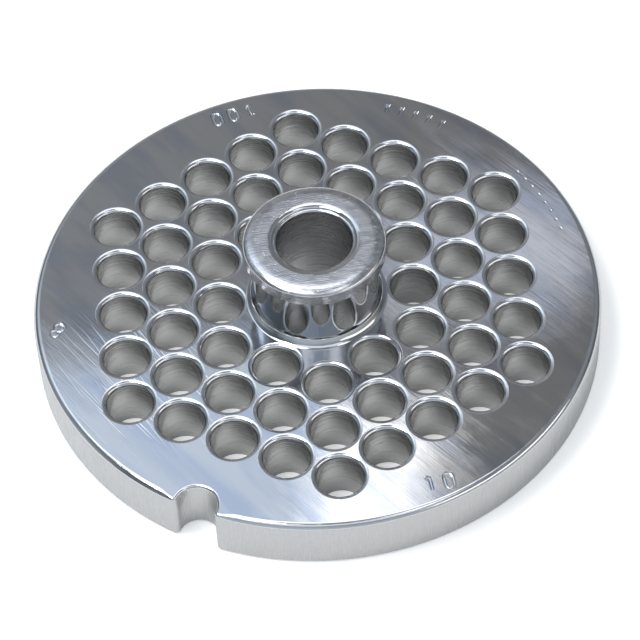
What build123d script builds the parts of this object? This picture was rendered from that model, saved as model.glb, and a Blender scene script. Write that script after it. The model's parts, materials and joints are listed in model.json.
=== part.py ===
from build123d import *

# Hubbed mincing plate for a size 32 meat grinder, turned and drilled from one piece of stainless steel.
# The origin is the centre of the plate's underside, +Z points up the hub, and the key notch is on the -Y side.
# Everything is in millimetres.

import math
import os

os.makedirs("parts", exist_ok=True)

# %% Driving dimensions: the disc
plate_diameter = 100.0      # outside, a size 32 plate
plate_thickness = 10.0
rim_round = 1.2             # rounded upper edge of the rim and of the notch
base_break = 0.4            # small chamfer round the underside

# %% Driving dimensions: the mincing holes
hole_diameter = 8.0
hole_web = 1.88             # metal left between two neighbouring holes
hole_round = 0.6            # rounded mouth of each hole; the mouths on the flat cutting face stay sharp
field_land = 5.0            # least plain width between the outer holes and the rim
foot_clearance = 0.05       # between the hub's foot and the mouths of the nearest holes

# %% Driving dimensions: the hub, from the bore outwards
bore_diameter = 13.2
neck_wall = 4.4
flange_overhang = 1.4       # how far the collar stands out past the neck
hub_height = 15.2           # above the plate's upper face
flange_thickness = 3.3
shoulder_width = 2.3        # long soft upper shoulder of the collar, a quarter of an oval
shoulder_drop = 0.95
flange_break = 0.3          # small chamfer along the collar's lower edge
foot_round = 2.2            # concave sweep from the neck down to the plate
foot_sweep = 70.0           # degrees of that sweep, which ends in a faint line
mouth_width = 1.3           # shallow lead-in round the top of the bore
mouth_depth = 0.35

# %% Driving dimensions: the key notch
notch_width = 7.0
notch_depth = 4.5           # from the rim to the bottom of the round
notch_round = 0.6           # rounded edge all along the notch

# %% Driving dimensions: the stamped marks, plain numbers of millimetres with plain ticks and dots
stamp_depth = 0.25
stamp_stroke = 0.5
stamp_inset = 4.1           # from the rim to the middle of each mark
digit_height = 3.5
digit_width = 2.0
digit_pitch = 3.1
tick_height = 2.8
tick_pitch = 2.7
tick_count = 5
dot_diameter = 0.9
dot_pitch = 2.2
dot_count = 8

# Each mark's bearing from +X, and how far it is turned from facing the hub
diameter_mark = ("100", 134.0, 0.0)
hole_mark = ("8", -147.0, -130.0)
thickness_mark = ("10", -39.0, -16.0)
tick_bearing = 91.0
dot_bearing = 52.0

# %% Sizes that follow from those
plate_radius = plate_diameter / 2
hole_radius = hole_diameter / 2
hole_pitch = hole_diameter + hole_web
hole_mouth = min(hole_round, 0.4 * hole_web)
bore_radius = bore_diameter / 2
neck_radius = bore_radius + neck_wall
flange_radius = neck_radius + flange_overhang
foot_radius = neck_radius + foot_round * (1 - math.cos(math.radians(foot_sweep)))
foot_top = plate_thickness + foot_round * math.sin(math.radians(foot_sweep))
hub_top = plate_thickness + hub_height
flange_base = hub_top - flange_thickness
notch_centre = notch_depth - notch_width / 2 - plate_radius
stamp_radius = plate_radius - stamp_inset


def hole_centres():
    """Return every point of a triangular grid whose hole clears both the hub's foot and the rim."""
    nearest = foot_radius + foot_clearance + hole_mouth + hole_radius
    farthest = plate_radius - field_land - hole_radius
    reach = math.ceil(2 * farthest / hole_pitch)
    centres = []
    for row in range(-reach, reach + 1):
        for column in range(-reach, reach + 1):
            x = hole_pitch * (column + row / 2)
            y = hole_pitch * row * math.sqrt(3) / 2
            if nearest <= math.hypot(x, y) <= farthest:
                centres.append((x, y))
    return centres


def on_notch_seam(edge):
    """Tell whether an edge is one of the two upright lines where the notch's round meets its straight sides."""
    return abs(edge.center().Y - notch_centre) < notch_round / 10 and edge.length > plate_thickness / 2


def rim_place(bearing, turn):
    """Return the place of a mark on the plain land; with no turn its top points at the hub."""
    angle = math.radians(bearing)
    return Location((stamp_radius * math.cos(angle), stamp_radius * math.sin(angle)), bearing + 90 + turn)


def rim_row(bearing, count, pitch):
    """Return evenly spaced places along the rim, whose X axes point outwards."""
    spread = math.degrees(pitch * (count - 1) / stamp_radius)
    return PolarLocations(stamp_radius, count, bearing - spread / 2, spread, endpoint=True)


def draw_digit(figure):
    """Draw one figure as a band of even width, upright and centred in the current place."""
    if figure == "0":
        SlotOverall(digit_height, digit_width, rotation=90)
        SlotOverall(digit_height - 2 * stamp_stroke, digit_width - 2 * stamp_stroke, rotation=90, mode=Mode.SUBTRACT)
    if figure == "1":
        SlotOverall(digit_height, stamp_stroke, rotation=90)
        with Locations((-digit_width / 4 + stamp_stroke / 4, digit_height / 2 - digit_width / 4 - stamp_stroke / 4)):
            SlotOverall(digit_width / 2 + stamp_stroke, stamp_stroke, rotation=45)
    if figure == "8":
        upper = (digit_height + stamp_stroke) * 0.46
        lower = digit_height + stamp_stroke - upper
        with Locations((0, (digit_height - upper) / 2)):
            Circle(upper / 2)
        with Locations((0, (lower - digit_height) / 2)):
            Circle(lower / 2)
        with Locations((0, (digit_height - upper) / 2)):
            Circle(upper / 2 - stamp_stroke, mode=Mode.SUBTRACT)
        with Locations((0, (lower - digit_height) / 2)):
            Circle(lower / 2 - stamp_stroke, mode=Mode.SUBTRACT)


# %% The plate
with BuildPart() as grinder_plate:

    # The disc, with its upper edge rounded
    with BuildSketch():
        Circle(plate_radius)
    extrude(amount=plate_thickness)
    fillet(grinder_plate.faces().sort_by(Axis.Z)[-1].edges(), rim_round)

    # The key notch, let into the rim, with its edges broken
    with BuildSketch():
        with Locations((0, notch_centre)):
            Circle(notch_width / 2)
            Rectangle(notch_width, notch_depth, align=(Align.CENTER, Align.MAX))
    extrude(amount=plate_thickness, mode=Mode.SUBTRACT)
    cut_edges = grinder_plate.edges(Select.LAST).filter_by(lambda edge: edge.center().Z > base_break)
    fillet(cut_edges.filter_by(lambda edge: not on_notch_seam(edge)), notch_round)
    chamfer(grinder_plate.faces().sort_by(Axis.Z)[0].edges(), base_break)

    # The mincing holes, rounded where they open beside the hub
    with BuildSketch():
        with Locations(*hole_centres()):
            Circle(hole_radius)
    extrude(amount=plate_thickness, mode=Mode.SUBTRACT)
    upper_circles = grinder_plate.faces().sort_by(Axis.Z)[-1].edges().filter_by(GeomType.CIRCLE)
    fillet(upper_circles.filter_by(lambda edge: abs(edge.radius - hole_radius) < hole_mouth / 10), hole_mouth)

    # The stamped marks on the plain land
    with BuildSketch(Plane.XY.offset(plate_thickness)):
        for figures, bearing, turn in (diameter_mark, hole_mark, thickness_mark):
            with Locations(rim_place(bearing, turn)):
                for index, figure in enumerate(figures):
                    with Locations((digit_pitch * (index - (len(figures) - 1) / 2), 0)):
                        draw_digit(figure)
        with rim_row(tick_bearing, tick_count, tick_pitch):
            SlotOverall(tick_height, stamp_stroke)
        with rim_row(dot_bearing, dot_count, dot_pitch):
            Circle(dot_diameter / 2)
    extrude(amount=-stamp_depth, mode=Mode.SUBTRACT)

    # The hub: foot, neck and collar
    with BuildSketch(Plane.XZ):
        with BuildLine():
            Polyline((0, 0), (foot_radius, 0), (foot_radius, plate_thickness))
            CenterArc((neck_radius + foot_round, foot_top), foot_round, 180 + foot_sweep, -foot_sweep)
            Polyline(
                (neck_radius, foot_top),
                (neck_radius, flange_base),
                (flange_radius - flange_break, flange_base),
                (flange_radius, flange_base + flange_break),
                (flange_radius, hub_top - shoulder_drop),
            )
            shoulder_centre = (flange_radius - shoulder_width, hub_top - shoulder_drop)
            EllipticalCenterArc(shoulder_centre, shoulder_width, shoulder_drop, arc_size=90)
            Polyline((flange_radius - shoulder_width, hub_top), (0, hub_top), (0, 0))
        make_face()
    revolve(axis=Axis.Z)

    # The bore, with a shallow lead-in above and the base chamfer below
    with BuildSketch(Plane.XZ):
        with BuildLine():
            Polyline(
                (0, 0),
                (bore_radius + base_break, 0),
                (bore_radius, base_break),
                (bore_radius, hub_top - mouth_depth),
                (bore_radius + mouth_width, hub_top),
                (0, hub_top),
                close=True,
            )
        make_face()
    revolve(axis=Axis.Z, mode=Mode.SUBTRACT)

grinder_plate.part.label = "grinder_plate"
export_step(grinder_plate.part, "parts/grinder_plate.step")
print("holes", len(hole_centres()), "volume", round(grinder_plate.part.volume), "solids", len(grinder_plate.solids()))
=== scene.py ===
# %% [markdown]
# # A hubbed mincing plate in polished steel
#
# The object is the cutting plate of a meat grinder: a thick disc full of drilled holes, with a collared hub
# in the middle and a key notch in the rim. It is turned, drilled and polished from one piece of stainless
# steel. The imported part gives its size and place. Here the same form is modelled again with smooth, even
# faces, because polished metal shows every facet, and then it gets its finish.

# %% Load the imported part
import json
import math

import bmesh
import bpy
from mathutils import Matrix, Quaternion, Vector


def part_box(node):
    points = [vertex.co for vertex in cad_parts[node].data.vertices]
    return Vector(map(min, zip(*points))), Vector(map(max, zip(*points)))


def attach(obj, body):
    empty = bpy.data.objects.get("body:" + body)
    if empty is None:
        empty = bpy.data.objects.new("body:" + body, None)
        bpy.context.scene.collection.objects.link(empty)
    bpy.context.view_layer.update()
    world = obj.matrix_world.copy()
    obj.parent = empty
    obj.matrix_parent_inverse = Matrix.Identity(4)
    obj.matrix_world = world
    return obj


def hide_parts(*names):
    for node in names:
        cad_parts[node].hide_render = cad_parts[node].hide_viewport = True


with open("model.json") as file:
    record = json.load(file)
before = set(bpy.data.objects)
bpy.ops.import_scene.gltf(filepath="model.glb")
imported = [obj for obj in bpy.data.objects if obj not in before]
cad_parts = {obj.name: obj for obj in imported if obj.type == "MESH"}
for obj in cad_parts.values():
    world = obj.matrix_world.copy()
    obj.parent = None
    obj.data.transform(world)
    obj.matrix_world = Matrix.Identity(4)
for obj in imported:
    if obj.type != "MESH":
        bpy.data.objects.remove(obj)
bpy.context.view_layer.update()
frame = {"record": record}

# %% [markdown]
# ## Sizes
#
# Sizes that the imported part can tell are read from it: the outside, the height, the bore and the notch. The
# rest are a maker's numbers, written here once in millimetres.

# %% Sizes in metres
MM = 0.001
high = Vector(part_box("grinder_plate")[1])
mounts = {mount["name"]: mount for mount in frame["record"]["mounts"]}

plate_radius = high.x
hub_top = high.z
bore_radius = mounts["bore"]["dims"]["r_mm"] * MM
notch_radius = mounts["key_notch"]["dims"]["r_mm"] * MM
plate_top = mounts["key_notch"]["dims"]["length_mm"] * MM   # the notch runs through the whole disc
notch_y = mounts["key_notch"]["pos_m"][1]

base_break = 0.4 * MM
rim_round = 1.2 * MM
notch_round = 0.6 * MM
hole_radius = 4.0 * MM
hole_web = 1.88 * MM
field_land = 5.0 * MM
print("plate", round(2 * plate_radius / MM, 2), "mm across and", round(plate_top / MM, 2), "mm thick")

# %% [markdown]
# ## Turned shapes
#
# The hub and every hole are solids of revolution. They could be cut from cylinders with Booleans, but then
# each rounded edge would need a bevel of its own. One helper serves them all instead: a short open outline
# is drawn in the XZ plane, as a lathe hand would see it, and bmesh spins it a full turn about the Z axis.
# Round corners of the outline come from a second helper that walks along an arc.

# %% Helpers for turned shapes
def arc(centre, radius, start, end, steps, squeeze=1.0):
    """Return points along an arc between two angles in degrees; squeeze scales its height, for an oval."""
    turns = [math.radians(start + (end - start) * step / steps) for step in range(steps + 1)]
    x, y = centre
    return [(x + radius * math.cos(turn), y + squeeze * radius * math.sin(turn)) for turn in turns]


def turned(outline, segments, finish_of):
    """Spin an outline of (radius, height) pairs round the Z axis, with a finish for each face."""
    bm = bmesh.new()
    verts = [bm.verts.new((radius, 0.0, height)) for radius, height in outline]
    edges = [bm.edges.new(pair) for pair in zip(verts, verts[1:])]
    bmesh.ops.spin(
        bm, geom=verts + edges, cent=(0, 0, 0), axis=(0, 0, 1), dvec=(0, 0, 0),
        angle=math.tau, steps=segments, use_merge=True, use_duplicate=False,
    )
    for face in bm.faces:
        middle = face.calc_center_median()
        face.material_index = finish_of(middle.xy.length, middle.z)
    mesh = bpy.data.meshes.new("turned")
    bm.to_mesh(mesh)
    bm.free()
    return mesh


# The finishes, in the order in which their materials join the plate further down
FACE, LIP, DRILLED, BORE, HUB, COLLAR, WALL = range(7)

# %% [markdown]
# ## The mincing holes
#
# The drill leaves a straight wall, and the polishing mop rolls its upper edge over. One hole is spun, and
# its copies go to every point of a triangular grid that clears both the hub's foot and the rim. A narrow
# flat ring round each mouth keeps the shading of the face flat right up to where the rounding starts.

# %% One hole, and where the holes go
flat_ring = 0.03 * MM
lip_width = 0.90 * MM
lip_depth = 0.75 * MM
hole_segments = 96
hole_pitch = 2 * hole_radius + hole_web
first_ring = 1.5 * hole_pitch   # the hub takes the place of the holes inside this distance


def hole_finish(radius, height):
    """Return LIP for the rolled mouth and DRILLED for the wall below it."""
    return LIP if height > plate_top - lip_depth else DRILLED


def hole_outline():
    """Return the outline of one hole, from the flat face over the rounded lip down to the underside."""
    lip = arc((hole_radius + lip_width, plate_top - lip_depth), lip_width, 90, 180, 9, lip_depth / lip_width)
    mouth = (hole_radius + lip_width + flat_ring, plate_top)
    return [mouth] + lip + [(hole_radius, 0.0), (hole_radius + flat_ring, 0.0)]


def hole_centres(nearest, farthest):
    """Return the points of the triangular grid between two distances from the axis."""
    reach = math.ceil(2 * farthest / hole_pitch)
    points = []
    for row in range(-reach, reach + 1):
        for column in range(-reach, reach + 1):
            x, y = hole_pitch * (column + row / 2), hole_pitch * row * math.sqrt(3) / 2
            points.append(Vector((x, y, 0)))
    return [point for point in points if nearest <= point.length <= farthest]


hole_mesh = turned(hole_outline(), hole_segments, hole_finish)
centres = hole_centres(first_ring, plate_radius - field_land - hole_radius)
print("holes", len(centres))

# %% [markdown]
# ## The hub
#
# Foot, neck, collar and bore are one outline too, so they are one spin. It starts on the face of the plate,
# sweeps up the hollow foot, runs up the neck and round the collar, rolls down into the bore over a fine
# step, and ends on the underside. The collar's shoulder is a long soft curve, a quarter of a flat oval,
# because polishing eats most at an edge.

# %% The hub, one turned outline
hub_segments = 256
neck_radius = bore_radius + 4.4 * MM
collar_radius = neck_radius + 1.4 * MM
collar_base = hub_top - 3.3 * MM
collar_break = 0.3 * MM
shoulder = 2.3 * MM
shoulder_drop = 0.95 * MM
foot_round = 2.2 * MM
foot_sweep = 70.0
mouth_roll = 1.15 * MM
roll_drop = 0.45 * MM
step_width = 0.55 * MM
step_drop = 0.06 * MM
bore_edge = 0.4 * MM
worn_from = bore_radius + step_width + 0.8 * mouth_roll   # the collar is satin from here outwards
underside = 0.1 * MM                                      # faces below this height belong to the underside


def hub_outline():
    """Return the hub's outline, from the face of the plate over the collar and down the bore."""
    foot_top = plate_top + foot_round * math.sin(math.radians(foot_sweep))
    foot = arc((neck_radius + foot_round, foot_top), foot_round, 180 + foot_sweep, 180, 12)
    start = [(foot[0][0] + flat_ring, plate_top)]
    neck = [(neck_radius, collar_base - flat_ring), (neck_radius, collar_base)]
    side = [
        (collar_radius - collar_break, collar_base),
        (collar_radius, collar_base + collar_break),
        (collar_radius, hub_top - shoulder_drop - flat_ring),
    ]
    shoulder_centre = (collar_radius - shoulder, hub_top - shoulder_drop)
    crown = arc(shoulder_centre, shoulder, 0, 90, 18, shoulder_drop / shoulder)
    roll_end = bore_radius + step_width
    roll_centre = (roll_end + mouth_roll, hub_top - roll_drop)
    roll = arc(roll_centre, mouth_roll, 90, 180, 12, roll_drop / mouth_roll)
    step_bottom = hub_top - roll_drop - step_drop
    edge = arc((bore_radius + bore_edge, step_bottom - bore_edge), bore_edge, 90, 180, 6)
    foot_of_bore = [
        (bore_radius, base_break),
        (bore_radius + base_break, 0.0),
        (bore_radius + base_break + flat_ring, 0.0),
    ]
    return start + foot + neck + side + crown + roll + [(roll_end, step_bottom)] + edge + foot_of_bore


def hub_finish(radius, height):
    """Return BORE for the straight wall, COLLAR for the worn outside, FACE underneath, HUB for the rest."""
    if radius < bore_radius + flat_ring:
        return BORE
    if height > collar_base and radius > worn_from:
        return COLLAR
    return HUB if height > underside else FACE


hub_mesh = turned(hub_outline(), hub_segments, hub_finish)
print("hub", len(hub_mesh.vertices), "points")

# %% [markdown]
# ## The rim and its key notch
#
# The rim is a circle with a round-bottomed notch let into it. A bevel would need even edges to work on, and
# its size couldn't fade from the rim into the notch. So the plan is walked once, and each point keeps its
# outward direction and the size of the rolled edge there: broad round the rim, finer in the notch. Extruding
# the closed loop level by level then makes the rolled edge, the wall and the small chamfer underneath. The
# rolled edge was polished with the face, so it gets the finish of the holes' lips.

# %% The plan of the rim
notch_corner = 0.8 * MM   # rounding of the two corners between the rim and the notch, seen from above
roll_change = 3 * MM      # the length along which the rolled edge grows from the notch's size to the rim's


def smooth(value):
    """Ease from 0 to 1."""
    value = min(max(value, 0.0), 1.0)
    return value * value * (3 - 2 * value)


def plan_arc(centre, radius, start, end, steps, hollow=False):
    """Return (point, outward direction) pairs along an arc of the plan."""
    rays = [Vector(point) for point in arc((0, 0), 1.0, start, end, steps)]
    return [(Vector(centre) + radius * ray, -ray if hollow else ray) for ray in rays]


def rim_plan():
    """Walk the plan of the rim anticlockwise, from the notch's right corner to its left one."""
    x = notch_radius + notch_corner
    y = -math.sqrt((plate_radius - notch_corner) ** 2 - x ** 2)
    bearing = math.degrees(math.atan2(y, x))
    rim = plan_arc((0, 0), plate_radius, bearing, 180 - bearing, 420)
    left = plan_arc((-x, y), notch_corner, -180 - bearing, 0, 8)
    hollow = plan_arc((0, notch_y), notch_radius, 180, 0, 40, hollow=True)
    right = plan_arc((x, y), notch_corner, 180, 360 + bearing, 8)
    return rim + left[1:-1] + hollow + right[1:-1]


def lip_radius(point):
    """Return the size of the rolled edge at a point of the plan."""
    away = (abs(point.x) - notch_radius - notch_corner) / roll_change if point.y < 0 else 1.0
    return notch_round + (rim_round - notch_round) * smooth(away)


plan = rim_plan()
print("rim plan", len(plan), "points")

# %% The rolled edge, the wall and the chamfer below it
ROLL_ANGLES = [math.radians(degrees) for degrees in (0, 11, 22, 34, 45, 56, 68, 79, 90)]
wall_rise = 0.3   # a face whose normal rises less than this belongs to the wall


def rim_levels(lip):
    """Return (inset, height) pairs down the rim for one size of rolled edge."""
    roll = [(lip - lip * math.sin(angle), plate_top - lip + lip * math.cos(angle)) for angle in ROLL_ANGLES]
    chamfer = [(0.0, base_break), (base_break, 0.0), (base_break + flat_ring, 0.0)]
    return [(lip + flat_ring, plate_top)] + roll + chamfer


def rim_finish(face):
    """Return WALL for the upright band, LIP for the rolled edge, and FACE above and below them."""
    if abs(face.normal.z) < wall_rise:
        return WALL
    return LIP if base_break < face.calc_center_median().z < plate_top - 0.01 * MM else FACE


def rim_mesh():
    """Extrude the plan of the rim level by level, and return the band as a mesh."""
    bm = bmesh.new()
    place = bm.verts.layers.int.new("place")
    verts = []
    for index, (point, _) in enumerate(plan):
        vert = bm.verts.new((point.x, point.y, plate_top))
        vert[place] = index
        verts.append(vert)
    edges = [bm.edges.new(pair) for pair in zip(verts, verts[1:] + verts[:1])]
    levels = [rim_levels(lip_radius(point)) for point, _ in plan]
    for level in range(len(levels[0])):
        if level:
            grown = bmesh.ops.extrude_edge_only(bm, edges=edges)["geom"]
            verts = [item for item in grown if isinstance(item, bmesh.types.BMVert)]
            edges = [item for item in grown if isinstance(item, bmesh.types.BMEdge)]
        for vert in verts:
            point, outward = plan[vert[place]]
            inset, height = levels[vert[place]][level]
            vert.co = Vector((*(point - outward * inset), height))
    bm.normal_update()
    for face in bm.faces:
        face.material_index = rim_finish(face)
    mesh = bpy.data.meshes.new("rim")
    bm.to_mesh(mesh)
    bm.free()
    return mesh


rim = rim_mesh()
print("rim band", len(rim.polygons), "faces")

# %% [markdown]
# ## One closed body
#
# The copies of the hole, the hub and the rim band stand in place with open edges on the two flat faces of
# the plate. Triangle fill closes each flat face between all of those loops at once, so the plate becomes a
# single closed skin, as a single piece of metal should be. The fill sweeps across in lines and stumbles over
# points in straight rows, so the whole mesh is turned by an odd angle while it works.

# %% Put the parts together and close the flat faces
SAME_PLACE = 1e-7
odd_turn = Matrix.Rotation(math.radians(17.3), 3, "Z")


def open_edges(bm, height):
    """Return the open edges that lie at one height."""
    edges = []
    for edge in bm.edges:
        if edge.is_boundary and all(abs(vert.co.z - height) < SAME_PLACE for vert in edge.verts):
            edges.append(edge)
    return edges


def add_copy(bm, mesh, offset):
    """Add a mesh to a bmesh and move the new copy."""
    count = len(bm.verts)
    bm.from_mesh(mesh)
    bm.verts.ensure_lookup_table()
    bmesh.ops.translate(bm, verts=bm.verts[count:], vec=offset)


def whole_plate():
    """Join holes, hub and rim into one closed mesh."""
    bm = bmesh.new()
    add_copy(bm, rim, Vector())
    add_copy(bm, hub_mesh, Vector())
    for centre in centres:
        add_copy(bm, hole_mesh, centre)
    bmesh.ops.remove_doubles(bm, verts=bm.verts, dist=SAME_PLACE)
    bmesh.ops.rotate(bm, verts=bm.verts, cent=(0, 0, 0), matrix=odd_turn)
    for height in (plate_top, 0.0):
        loops = open_edges(bm, height)
        filled = bmesh.ops.triangle_fill(bm, edges=loops, use_beauty=True, use_dissolve=False)["geom"]
        for item in filled:
            if isinstance(item, bmesh.types.BMFace):
                item.material_index = FACE
    bmesh.ops.rotate(bm, verts=bm.verts, cent=(0, 0, 0), matrix=odd_turn.inverted())
    bmesh.ops.recalc_face_normals(bm, faces=bm.faces)
    still_open = sum(edge.is_boundary for edge in bm.edges)
    print("open edges left", still_open, "volume", round(bm.calc_volume() / MM ** 3), "mm3")
    mesh = bpy.data.meshes.new("plate")
    bm.to_mesh(mesh)
    bm.free()
    return mesh


plate = bpy.data.objects.new("mincing_plate", whole_plate())
bpy.context.scene.collection.objects.link(plate)

# %% [markdown]
# ## Stamped marks
#
# A round-nosed punch leaves a groove with a round bottom that fades out at its ends. Each stroke is
# therefore a thin tube laid along the face and half sunk in it, and a Boolean takes the tubes away from the
# plate. Strokes that cross go into two groups, one after the other, because a Boolean wants tools that don't
# cut each other. The numbers are the plate's own sizes in millimetres, and a row of ticks and a row of dots
# join them.

# %% Paths of the plain figures
def oval(width, height, middle=0.0):
    """Return a closed oval path: two half circles joined by straight sides."""
    radius = width / 2
    straight = height / 2 - radius
    upper = arc((0, middle + straight), radius, 0, 180, 14)
    lower = arc((0, middle - straight), radius, 180, 360, 14)
    return (upper + lower if straight > 0 else upper[:-1] + lower[:-1]), True


# Each figure is a list of (points in millimetres, closed or not), upright and centred
FIGURES = {
    "0": [oval(1.5, 3.0)],
    "1": [([(0, -1.5), (0, 1.5)], False), ([(-0.75, 0.75), (-0.05, 1.45)], False)],
    "8": [oval(1.66, 1.66, -0.67), oval(1.34, 1.34, 0.83)],
}
print("figures", list(FIGURES))

# %% Tubes for the strokes, and their places on the rim
stroke_radius = 0.36 * MM
stroke_lift = 0.03 * MM
stamp_radius = plate_radius - 4.1 * MM
# How an open stroke thins out: (share of its length, share of its full thickness)
FADE = ((0, 0.15), (0.03, 0.6), (0.08, 1), (0.5, 1), (0.92, 1), (0.97, 0.6), (1, 0.15))


def tube(points, closed):
    """Return a mesh tube along flat points, thin at its ends if it is open."""
    curve = bpy.data.curves.new("stroke", "CURVE")
    curve.dimensions = "3D"
    curve.bevel_depth = stroke_radius
    curve.bevel_resolution = 4
    curve.use_fill_caps = True
    path = [(Vector((x, y, 0)), 1.0) for x, y in points]
    if not closed:
        start, end = path[0][0], path[-1][0]
        path = [(start.lerp(end, share), thickness) for share, thickness in FADE]
    spline = curve.splines.new("POLY")
    spline.points.add(len(path) - 1)
    for spot, (point, thickness) in zip(spline.points, path):
        spot.co = (*point, 1)
        spot.radius = thickness
    spline.use_cyclic_u = closed
    holder = bpy.data.objects.new("stroke", curve)
    mesh = bpy.data.meshes.new_from_object(holder)
    bpy.data.objects.remove(holder)
    bpy.data.curves.remove(curve)
    return mesh


def rim_place(bearing, turn=0.0):
    """Return the matrix that stands a mark on the plain land, its top towards the hub before any turn."""
    angle = math.radians(bearing)
    spot = Vector((stamp_radius * math.cos(angle), stamp_radius * math.sin(angle), plate_top + stroke_lift))
    return Matrix.Translation(spot) @ Matrix.Rotation(math.radians(bearing + 90 + turn), 4, "Z")

# %% Lay out the marks
NUMBERS = (("100", 134, 0), ("8", -147, -130), ("10", -39, -16))   # figures, bearing, turn
digit_pitch = 3.1 * MM
tick_bearing, tick_count, tick_pitch, tick_reach = 91, 5, 2.7 * MM, 1.15 * MM
dot_bearing, dot_count, dot_pitch, dot_radius, dot_lift = 52, 8, 2.2 * MM, 0.45 * MM, 0.15 * MM


def row_bearing(bearing, step, count, pitch):
    """Return the bearing of one mark in an even row along the rim."""
    return bearing + math.degrees(pitch * (step - (count - 1) / 2) / stamp_radius)


def marks():
    """Return (matrix, points, closed) for every stroke, in two groups without crossings of their own."""
    groups = ([], [])
    for figures, bearing, turn in NUMBERS:
        for index, figure in enumerate(figures):
            along = digit_pitch * (index - (len(figures) - 1) / 2)
            place = rim_place(bearing, turn) @ Matrix.Translation((along, 0, 0))
            for group, (points, closed) in zip(groups, FIGURES[figure]):
                group.append((place, [(x * MM, y * MM) for x, y in points], closed))
    for step in range(tick_count):
        place = rim_place(row_bearing(tick_bearing, step, tick_count, tick_pitch))
        groups[0].append((place, [(0, -tick_reach), (0, tick_reach)], False))
    return groups


stroke_groups = marks()
print("strokes", [len(group) for group in stroke_groups], "dots", dot_count)

# %% Cut the marks
def cut(tools):
    """Take closed tool meshes away from the plate for good."""
    tool = bpy.data.objects.new("tool", tools)
    bpy.context.scene.collection.objects.link(tool)
    boolean = plate.modifiers.new("marks", "BOOLEAN")
    boolean.operation = "DIFFERENCE"
    boolean.solver = "EXACT"
    boolean.object = tool
    shown = plate.evaluated_get(bpy.context.evaluated_depsgraph_get())
    plate.data = bpy.data.meshes.new_from_object(shown)
    plate.modifiers.clear()
    bpy.data.objects.remove(tool)


for group, dots_here in zip(stroke_groups, (dot_count, 0)):
    bm = bmesh.new()
    for place, points, closed in group:
        stroke = tube(points, closed)
        stroke.transform(place)
        bm.from_mesh(stroke)
    for step in range(dots_here):
        place = rim_place(row_bearing(dot_bearing, step, dot_count, dot_pitch))
        place = place @ Matrix.Translation((0, 0, dot_lift))
        bmesh.ops.create_uvsphere(bm, u_segments=20, v_segments=12, radius=dot_radius, matrix=place)
    tools = bpy.data.meshes.new("tools")
    bm.to_mesh(tools)
    bm.free()
    cut(tools)
    print("after a round of stamping", len(plate.data.polygons), "faces")

# %% [markdown]
# ## Smooth and sharp
#
# Shading everything smooth would round off the real corners, and flat shading would show every facet. So all
# faces are smooth, and an edge where two faces meet at more than a set angle is marked as a crease.

# %% Shade round stretches smooth and keep the real creases
def finish_shading(mesh, crease=math.radians(32)):
    """Shade a mesh smooth, apart from its creases."""
    bm = bmesh.new()
    bm.from_mesh(mesh)
    for face in bm.faces:
        face.smooth = True
    for edge in bm.edges:
        edge.smooth = len(edge.link_faces) == 2 and edge.calc_face_angle() < crease
    creases = sum(not edge.smooth for edge in bm.edges)
    print("closed", all(edge.is_manifold for edge in bm.edges), "creases", creases)
    bm.to_mesh(mesh)
    bm.free()


finish_shading(plate.data)

# %% [markdown]
# ## Steel
#
# Steel has no colour of its own beyond a cool grey, so its look is all in how sharply it reflects and in
# what each tool left behind. A painted picture of scratches would look the same from every side. Here a
# trace is a noise pattern that is stretched along the tool's path, long and thin for a scratch, a flat ring
# for a drill. It drives a little relief and a little roughness, so it catches the light as real marks do.
# The pattern's size is given as the length of one feature in each direction.

# %% Start a material and work with numbers in its nodes
def steel(name, tint):
    """Start a bare metal material and return it with its node tree and shader."""
    material = bpy.data.materials.new(name)
    material.use_nodes = True
    shader = material.node_tree.nodes["Principled BSDF"]
    shader.inputs["Base Color"].default_value = (*tint, 1)
    shader.inputs["Metallic"].default_value = 1.0
    plate.data.materials.append(material)
    return material.node_tree, shader


def value(tree, operation, first, second=0.0):
    """Add a Math node; numbers are set on it and sockets are linked to it."""
    node = tree.nodes.new("ShaderNodeMath")
    node.operation = operation
    for socket, given in zip(node.inputs, (first, second)):
        if isinstance(given, bpy.types.NodeSocket):
            tree.links.new(given, socket)
        else:
            socket.default_value = given
    return node.outputs[0]


def span(tree, given, from_low, from_high, to_low=0.0, to_high=1.0):
    """Map a value smoothly from one span to another."""
    node = tree.nodes.new("ShaderNodeMapRange")
    node.interpolation_type = "SMOOTHSTEP"
    names = ("From Min", "From Max", "To Min", "To Max")
    for name, number in zip(names, (from_low, from_high, to_low, to_high)):
        node.inputs[name].default_value = number
    tree.links.new(given, node.inputs["Value"])
    return node.outputs["Result"]

# %% Traces and their relief
def trace(tree, size, turn=0.0, detail=2.0, shift=0.0):
    """Return a noise pattern with features of the given size in millimetres, turned about Z in degrees."""
    where = tree.nodes.new("ShaderNodeTexCoord")
    place = tree.nodes.new("ShaderNodeMapping")
    place.vector_type = "TEXTURE"
    place.inputs["Location"].default_value = (shift * MM, 0, 0)
    place.inputs["Rotation"].default_value = (0, 0, math.radians(turn))
    place.inputs["Scale"].default_value = [length * MM for length in size]
    noise = tree.nodes.new("ShaderNodeTexNoise")
    noise.inputs["Scale"].default_value = 1.0
    noise.inputs["Detail"].default_value = detail
    tree.links.new(where.outputs["Object"], place.inputs["Vector"])
    tree.links.new(place.outputs["Vector"], noise.inputs["Vector"])
    return noise.outputs["Fac"]


def relief(tree, shader, height, depth, under=None):
    """Raise the surface by a height of 0 to 1 times a depth in millimetres, on top of an earlier relief."""
    bump = tree.nodes.new("ShaderNodeBump")
    bump.inputs["Distance"].default_value = depth * MM
    tree.links.new(height, bump.inputs["Height"])
    if under:
        tree.links.new(under, bump.inputs["Normal"])
    tree.links.new(bump.outputs["Normal"], shader.inputs["Normal"])
    return bump.outputs["Normal"]

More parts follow.
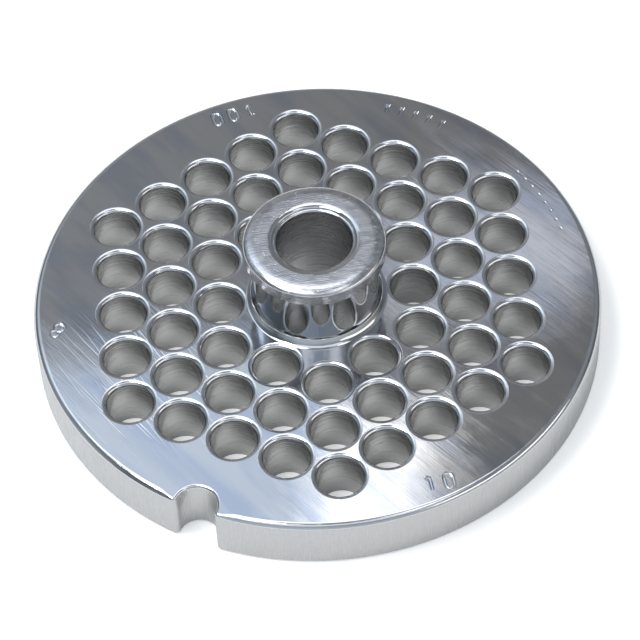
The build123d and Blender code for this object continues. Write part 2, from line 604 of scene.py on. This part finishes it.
# %% [markdown]
# ### The buffed face
#
# A cloth wheel leaves the face bright, with a faint cloudy haze, bluish smears and long straight hairlines,
# and its pressure leaves the metal very slightly wavy. One noise can't hold marks of such different sizes.
# So each kind gets its own trace, from waves a centimetre long to lines a sixth of a millimetre wide.

# %% Colour the metal, and keep a mark to one place
def tinted(tree, shader, share, colour):
    """Give the metal another tint, over what it has already, where the share is high."""
    base = shader.inputs["Base Color"]
    mix = tree.nodes.new("ShaderNodeMix")
    mix.data_type = "RGBA"
    first, second = (socket for socket in mix.inputs if socket.type == "RGBA")
    first.default_value = base.default_value
    second.default_value = (*colour, 1)
    if base.links:
        tree.links.new(base.links[0].from_socket, first)
    tree.links.new(share, mix.inputs["Factor"])
    tree.links.new(next(socket for socket in mix.outputs if socket.type == "RGBA"), base)


def near_spot(tree, centre, inner, outer):
    """Return 1 near a point and 0 away from it, with sizes in millimetres."""
    where = tree.nodes.new("ShaderNodeTexCoord")
    apart = tree.nodes.new("ShaderNodeVectorMath")
    apart.operation = "DISTANCE"
    apart.inputs[1].default_value = [number * MM for number in centre]
    tree.links.new(where.outputs["Object"], apart.inputs[0])
    return span(tree, apart.outputs["Value"], inner * MM, outer * MM, 1.0, 0.0)

# %% Buffed face
tree, shader = steel("buffed_face", (0.66, 0.66, 0.67))
BUFFING = -21   # the direction of the cloth wheel's lines, in degrees from the X axis
cloud = trace(tree, (7, 4, 6), turn=BUFFING, detail=5)
smears = trace(tree, (26, 1.6, 6), turn=BUFFING, detail=4, shift=23)
hairlines = trace(tree, (16, 0.16, 1), turn=BUFFING, detail=3)
cross_lines = trace(tree, (24, 0.3, 1), turn=-68, detail=3, shift=40)
bluish = span(tree, trace(tree, (20, 5, 6), turn=-26, detail=2, shift=17), 0.36, 0.68)
haze = span(tree, cloud, 0.42, 0.7, 0.045, 0.10)
haze = value(tree, "ADD", haze, span(tree, smears, 0.5, 0.75, 0.0, 0.04))
waves = relief(tree, shader, trace(tree, (13, 10, 11), detail=1.5), 0.035)
print("lines and haze", len(tree.nodes), "nodes")

# %% [markdown]
# ### Scratches
#
# Beside the figure 8 something was dragged over the plate: long scratches run there in two directions
# and fade out round the place. Cutting them into the mesh would need thousands of thin faces. They are two
# more traces, kept to the place by the distance from it, and they join the same material. Their lines are
# also painted almost white, a painted highlight for the light that a scratch scatters.

# %% Scratches, and the face put together
scratches = span(tree, trace(tree, (24, 0.30, 9), turn=-33, detail=1, shift=11), 0.62, 0.70)
more_scratches = span(tree, trace(tree, (19, 0.26, 9), turn=-26, detail=1, shift=31), 0.60, 0.70)
dragged_over = near_spot(tree, (-19, -27, 10), 9, 21)
scratch_and_painted_glint = value(tree, "MULTIPLY", value(tree, "MAXIMUM", scratches, more_scratches), dragged_over)
tree.links.new(value(tree, "ADD", haze, value(tree, "MULTIPLY", scratch_and_painted_glint, 0.10)), shader.inputs["Roughness"])
tinted(tree, shader, bluish, (0.53, 0.56, 0.63))
# Painted highlight: the scratch lines are painted almost white, standing in for the light they scatter
tinted(tree, shader, scratch_and_painted_glint, (0.96, 0.97, 1.0))
fine = relief(tree, shader, span(tree, smears, 0.3, 0.8), 0.0025, waves)
fine = relief(tree, shader, hairlines, 0.0045, fine)
fine = relief(tree, shader, cross_lines, 0.001, fine)
relief(tree, shader, scratch_and_painted_glint, -0.008, fine)
print("whole face", len(tree.nodes), "nodes")

# %% [markdown]
# ### Mopped lips
#
# Where the soft mop folds over an edge it cuts faster and less evenly than on the flat. So the rolled edges
# of the holes, the rim and the notch are a little duller than the face and gently lumpy, which breaks their
# bright outlines up.

# %% Mopped lips
tree, shader = steel("mopped_lip", (0.66, 0.665, 0.685))
mopping = trace(tree, (3, 2, 2), detail=3, shift=9)
tree.links.new(span(tree, mopping, 0.35, 0.65, 0.12, 0.19), shader.inputs["Roughness"])
relief(tree, shader, trace(tree, (2.5, 2.5, 1.2), detail=2), 0.02)
print("mopped lip", len(tree.nodes), "nodes")

# %% [markdown]
# ### Drilled holes and bore
#
# A drill leaves fine rings round the wall. They are the same pattern with a very small height and a long way
# round, so they follow the wall whatever hole they are in. The bore's rings are coarser, from a boring bar.
# Such rings also smear a reflection along the hole. Anisotropic does that, and Tangent tells it which way:
# along the hole's axis, a direction that can be worked out from the wall's own normal.

# %% Drilled and bored walls
def along_the_hole(tree):
    """Return the direction of a hole's axis, as it lies on the wall."""
    wall = tree.nodes.new("ShaderNodeNewGeometry")
    around = tree.nodes.new("ShaderNodeVectorMath")
    around.operation = "CROSS_PRODUCT"
    around.inputs[1].default_value = (0, 0, 1)
    along = tree.nodes.new("ShaderNodeVectorMath")
    along.operation = "CROSS_PRODUCT"
    tree.links.new(wall.outputs["True Normal"], around.inputs[0])
    tree.links.new(around.outputs["Vector"], along.inputs[0])
    tree.links.new(wall.outputs["True Normal"], along.inputs[1])
    return along.outputs["Vector"]


# Name, tint, height of one ring and depth of its groove in millimetres, least and greatest roughness
HOLE_WALLS = (
    ("drilled_wall", (0.53, 0.53, 0.52), 0.42, 0.042, (0.17, 0.28)),
    ("bored_wall", (0.60, 0.60, 0.60), 0.6, 0.05, (0.20, 0.32)),
)
for name, tint, ring, depth, rough in HOLE_WALLS:
    tree, shader = steel(name, tint)
    rings = trace(tree, (9, 9, ring), detail=4)
    tree.links.new(span(tree, rings, 0.35, 0.65, *rough), shader.inputs["Roughness"])
    shader.inputs["Anisotropic"].default_value = 0.35
    tree.links.new(along_the_hole(tree), shader.inputs["Tangent"])
    pits = trace(tree, (0.35, 0.35, 0.3), detail=2, shift=7)
    ringed = relief(tree, shader, rings, depth)
    relief(tree, shader, span(tree, pits, 0.7, 0.78), -0.03, ringed)
    print(name, len(tree.nodes), "nodes")

# %% [markdown]
# ### The neck
#
# The neck was polished by hand, up and down. It is bright but not flat: upright waves bend what it mirrors,
# so the holes round it show as broken bands. Waves in the mesh would need very fine faces, so two traces of
# relief make them, a broad one and a fine one, both long along Z.

# %% Polished neck
tree, shader = steel("polished_neck", (0.62, 0.625, 0.64))
sweep = trace(tree, (1.2, 1.2, 12), detail=3)
tree.links.new(span(tree, sweep, 0.3, 0.7, 0.05, 0.13), shader.inputs["Roughness"])
waves = relief(tree, shader, trace(tree, (2.6, 2.6, 12), detail=1), 0.06)
relief(tree, shader, sweep, 0.018, waves)
print("polished neck", len(tree.nodes), "nodes")

# %% [markdown]
# ### The collar
#
# The collar has gone satin from the cutter that turns against it. It keeps faint rings from the lathe under
# its scuffs, small dents and dull patches. A stretched noise can make rings one above another on a wall, but
# not one inside another on a flat top. So these come from a wave texture, with enough distortion to keep
# them from looking drawn.

# %% Worn collar
def lathe_rings(tree, pitch, wobble):
    """Return wavy rings round the Z axis, a pitch in millimetres apart."""
    where = tree.nodes.new("ShaderNodeTexCoord")
    wave = tree.nodes.new("ShaderNodeTexWave")
    wave.wave_type = "RINGS"
    wave.rings_direction = "Z"
    wave.inputs["Scale"].default_value = math.tau / 20 / (pitch * MM)   # at scale 1 they lie tau / 20 apart
    wave.inputs["Distortion"].default_value = wobble
    wave.inputs["Detail Scale"].default_value = 0.6
    tree.links.new(where.outputs["Object"], wave.inputs["Vector"])
    return wave.outputs["Fac"]


tree, shader = steel("worn_collar", (0.64, 0.64, 0.66))
scuffs = trace(tree, (5, 0.25, 5), turn=34, detail=3)
dents = span(tree, trace(tree, (0.5, 0.5, 0.5), detail=3), 0.64, 0.74)
mottle = trace(tree, (1.5, 1.5, 1.0), detail=4)
dull_patches = span(tree, trace(tree, (2.2, 1.2, 2), turn=34, detail=4, shift=5), 0.38, 0.66)
tree.links.new(span(tree, mottle, 0.3, 0.7, 0.17, 0.27), shader.inputs["Roughness"])
tinted(tree, shader, dull_patches, (0.53, 0.53, 0.56))
waves = relief(tree, shader, trace(tree, (6, 6, 6), detail=1), 0.02)
fine = relief(tree, shader, lathe_rings(tree, 0.42, 5.0), 0.004, waves)
fine = relief(tree, shader, span(tree, scuffs, 0.35, 0.75), 0.007, fine)
relief(tree, shader, dents, -0.03, fine)
print("worn collar", len(tree.nodes), "nodes")

# %% [markdown]
# ### The rim
#
# The rim only has to fit its housing, so it was ground and never polished. It is evenly dull with short
# upright streaks, which take a single trace.

# %% Ground rim
tree, shader = steel("ground_rim", (0.60, 0.595, 0.59))
streaks = trace(tree, (0.5, 0.5, 14), detail=3)
tree.links.new(span(tree, streaks, 0.35, 0.65, 0.25, 0.34), shader.inputs["Roughness"])
relief(tree, shader, streaks, 0.0025)
print("finishes", [material.name for material in plate.data.materials])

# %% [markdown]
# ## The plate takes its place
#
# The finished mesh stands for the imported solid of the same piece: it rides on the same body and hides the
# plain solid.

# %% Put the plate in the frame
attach(plate, "root")
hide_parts("grinder_plate")
print("plate", [round(length, 4) for length in plate.dimensions], "m")

# %% [markdown]
# ## Camera
#
# A long lens looks down from half a metre away, a little to the right of the notch. Its narrow view hardly
# changes the size of the holes from near to far, and the flat face mirrors only a small part of the room.

# %% Place the camera
VIEW_AZIMUTH = 26.467
VIEW_ELEVATION = 51.37
VIEW_DISTANCE = 521.6 * MM
VIEW_ROLL = -2.816
VIEW_TARGET = Vector((2.93, -5.12, 10.0)) * MM
FOCAL_SHARE = 2983.9 / 640   # focal length over the width of the view
SENSOR_WIDTH = 36.0

azimuth, elevation = math.radians(VIEW_AZIMUTH), math.radians(VIEW_ELEVATION)
level = math.cos(elevation)   # the level part of a step of 1 back to the camera
back = Vector((math.sin(azimuth) * level, -math.cos(azimuth) * level, math.sin(elevation)))
camera = bpy.data.objects.new("camera", bpy.data.cameras.new("camera"))
camera.data.sensor_width = SENSOR_WIDTH
camera.data.lens = SENSOR_WIDTH * FOCAL_SHARE
camera.data.clip_start = 0.01
camera.rotation_mode = "QUATERNION"
camera.rotation_quaternion = back.to_track_quat("Z", "Y") @ Quaternion((0, 0, 1), math.radians(VIEW_ROLL))
camera.location = VIEW_TARGET + back * VIEW_DISTANCE
bpy.context.scene.collection.objects.link(camera)
bpy.context.scene.camera = camera
print("lens", round(camera.data.lens, 1), "mm at", [round(number, 3) for number in camera.location])

# %% [markdown]
# ## The floor
#
# The plate lies on a white sweep. White paper under lamps of this strength renders light grey, and stronger
# lamps would burn the steel out. So the paper glows a little, but only for the camera, which leaves the
# light on the plate alone and keeps the plate's shadow. What the metal mirrors is a separate glow. It is
# bright far off, for the rim, and almost nothing near the plate, a painted shade round the plate, so that
# the walls of the holes stay dark.

# %% Floor
FLOOR_SIZE = 3.0
CAMERA_GLOW = 0.34
FAR_GLOW, NEAR_GLOW_PAINTED_SHADE = 0.70, 0.03

floor_mesh = bpy.data.meshes.new("floor")
bm = bmesh.new()
bmesh.ops.create_grid(bm, x_segments=1, y_segments=1, size=FLOOR_SIZE)
bm.to_mesh(floor_mesh)
bm.free()
floor = bpy.data.objects.new("floor", floor_mesh)
bpy.context.scene.collection.objects.link(floor)

floor_material = bpy.data.materials.new("white_sweep")
floor_material.use_nodes = True
nodes, links = floor_material.node_tree.nodes, floor_material.node_tree.links
paper = nodes["Principled BSDF"]
paper.inputs["Base Color"].default_value = (0.9, 0.9, 0.9, 1)
paper.inputs["Roughness"].default_value = 0.9
paper.inputs["Specular IOR Level"].default_value = 0.0
paper.inputs["Emission Color"].default_value = (1, 1, 1, 1)
path = nodes.new("ShaderNodeLightPath")
tree = floor_material.node_tree
seen = value(tree, "MULTIPLY", path.outputs["Is Camera Ray"], CAMERA_GLOW)
# Painted shade: the mirrored glow fades to almost nothing within reach of the plate
glow = span(tree, near_spot(tree, (0, 0, 0), 70, 300), 0.0, 1.0, FAR_GLOW, NEAR_GLOW_PAINTED_SHADE)
mirrored = value(tree, "MULTIPLY", path.outputs["Is Glossy Ray"], glow)
links.new(value(tree, "ADD", seen, mirrored), paper.inputs["Emission Strength"])
floor.data.materials.append(floor_material)
print("floor", 2 * FLOOR_SIZE, "m wide")

# %% [markdown]
# ## The lamps
#
# Polished metal shows the lamps themselves, so each one hangs where the right part of the plate mirrors it.
# The flat face mirrors what hangs well beyond the plate: the wing as a bluish sheen on its near left, the
# strip as a white streak beside the 10, and the far card as a light patch on its right. Rounded edges that
# lean towards the camera, such as the far lips of the holes, the near shoulder of the collar and the near
# rim, mirror what hangs overhead: the top box and the back box as long white lines, the main box on the left
# of collar and rim, and the right box and the low side box on their right.

# %% Lamps
turn_to_view = Matrix.Rotation(azimuth, 4, "Z")


def soft_box(name, centre, size, strength, colour=(1, 1, 1), aim=None, turn=0.0):
    """Hang an area lamp at a place seen from the camera's side; strength is its brightness at any size."""
    data = bpy.data.lights.new(name, "AREA")
    data.shape = "RECTANGLE"
    data.size, data.size_y = size
    data.color = colour
    data.energy = strength * math.pi * size[0] * size[1]
    lamp = bpy.data.objects.new(name, data)
    spot = turn_to_view @ Vector(centre)
    lamp.rotation_mode = "QUATERNION"
    lamp.rotation_quaternion = Quaternion((0, 0, 1), azimuth + math.radians(turn))
    if aim:
        lamp.rotation_quaternion = (spot - turn_to_view @ Vector(aim)).to_track_quat("Z", "Y")
    lamp.location = spot
    bpy.context.scene.collection.objects.link(lamp)


COOL = (0.66, 0.80, 1.0)   # a window's light
# Centre and size in metres, brightness; those without an aim face straight down
soft_box("main_box", (-0.20, -0.05, 0.51), (0.22, 0.20), 11.5, turn=15)
soft_box("top_box", (-0.065, 0.165, 0.51), (0.38, 0.15), 2.0, (0.9, 0.95, 1.0))
soft_box("back_box", (0.02, -0.26, 0.51), (0.46, 0.18), 0.8)
soft_box("wing", (-0.19, 0.300, 0.50), (0.40, 0.13), 0.72, COOL, turn=4)
soft_box("far_card", (0.067, 0.427, 0.51), (0.08, 0.06), 0.62, (0.80, 0.86, 1.0))
soft_box("strip", (0.018, 0.30, 0.51), (0.040, 0.10), 1.6, turn=-6)
soft_box("side_box", (0.403, -0.188, 0.323), (0.50, 0.14), 1.7, aim=(0, 0, 0))
soft_box("right_box", (0.15, -0.09, 0.51), (0.12, 0.12), 2.0, turn=-30)

# %% [markdown]
# ## The room
#
# Between the lamps a mirror finish shows the room itself, so the world is one too: a ring of tones for its
# lower walls and another for the upper walls, each read off by compass bearing, and an even ceiling above.
# The walls are grey beyond the plate, bright behind the camera for the near rim, and light and dark by turns
# between the two, so that every rolled edge gets both light and dark lines.

# %% Read the bearing and the height of a direction
world = bpy.data.worlds.new("studio")
world.use_nodes = True
tree = world.node_tree
direction = tree.nodes.new("ShaderNodeTexCoord")
from_camera = tree.nodes.new("ShaderNodeVectorRotate")
from_camera.rotation_type = "Z_AXIS"
from_camera.inputs["Angle"].default_value = -azimuth
axes = tree.nodes.new("ShaderNodeSeparateXYZ")
tree.links.new(direction.outputs["Generated"], from_camera.inputs["Vector"])
tree.links.new(from_camera.outputs["Vector"], axes.inputs["Vector"])
turned_by = value(tree, "ARCTAN2", axes.outputs["X"], axes.outputs["Y"])
bearing = value(tree, "ADD", value(tree, "MULTIPLY", turned_by, 1 / math.tau), 0.5)


def ring_of_tones(stops):
    """Return a colour ramp round the horizon from (bearing in degrees, grey, blueness) stops."""
    node = tree.nodes.new("ShaderNodeValToRGB")
    elements = node.color_ramp.elements
    for index, (degrees, grey, blue) in enumerate(stops):
        stop = elements[index] if index < 2 else elements.new(1.0)
        stop.position = degrees / 360 + 0.5
        stop.color = (grey * (1 - blue), grey, grey * (1 + blue), 1)
    tree.links.new(bearing, node.inputs["Fac"])
    return node.outputs["Color"]


def blend_colours(share, first, second):
    """Mix two colours by a share of the second."""
    node = tree.nodes.new("ShaderNodeMix")
    node.data_type = "RGBA"
    tree.links.new(share, node.inputs["Factor"])
    tree.links.new(first, node.inputs["A"])
    tree.links.new(second, node.inputs["B"])
    return node.outputs["Result"]

# %% The room's tones, as (bearing, grey, blueness) with 0 beyond the plate and 90 to its right
lower_walls = ring_of_tones((
    (-180, 0.62, 0.10), (-150, 0.62, 0.10), (-112, 0.16, 0.15), (-90, 0.45, 0.08), (-55, 0.16, 0.15),
    (-12, 0.36, 0.02), (12, 0.24, 0.0), (26, 0.24, 0.10), (48, 0.20, 0.10), (70, 0.12, 0.02),
    (95, 0.36, 0.0), (150, 0.58, 0.06),
))
upper_walls = ring_of_tones((
    (-180, 0.50, 0.15), (-150, 0.50, 0.15), (-112, 0.10, 0.20), (-75, 0.20, 0.15), (-40, 0.80, 0.12),
    (-14, 0.34, 0.06), (-4, 0.29, 0.04), (9, 0.20, 0.0), (20, 0.24, 0.12), (48, 0.30, 0.12),
    (80, 0.30, 0.0), (110, 0.16, 0.05), (150, 0.40, 0.15),
))
ceiling = ring_of_tones(((-180, 0.26, 0.12), (180, 0.26, 0.12)))

# %% Blend the walls and the ceiling by how steeply a direction rises
WALLS_MEET = (0.42, 0.66)
CEILING_STARTS = (0.84, 0.93)
walls = blend_colours(span(tree, axes.outputs["Z"], *WALLS_MEET), lower_walls, upper_walls)
room = blend_colours(span(tree, axes.outputs["Z"], *CEILING_STARTS), walls, ceiling)
tree.links.new(room, tree.nodes["Background"].inputs["Color"])
bpy.context.scene.world = world
bpy.context.scene.view_settings.view_transform = "Standard"
print("room of", len(world.node_tree.nodes), "nodes")
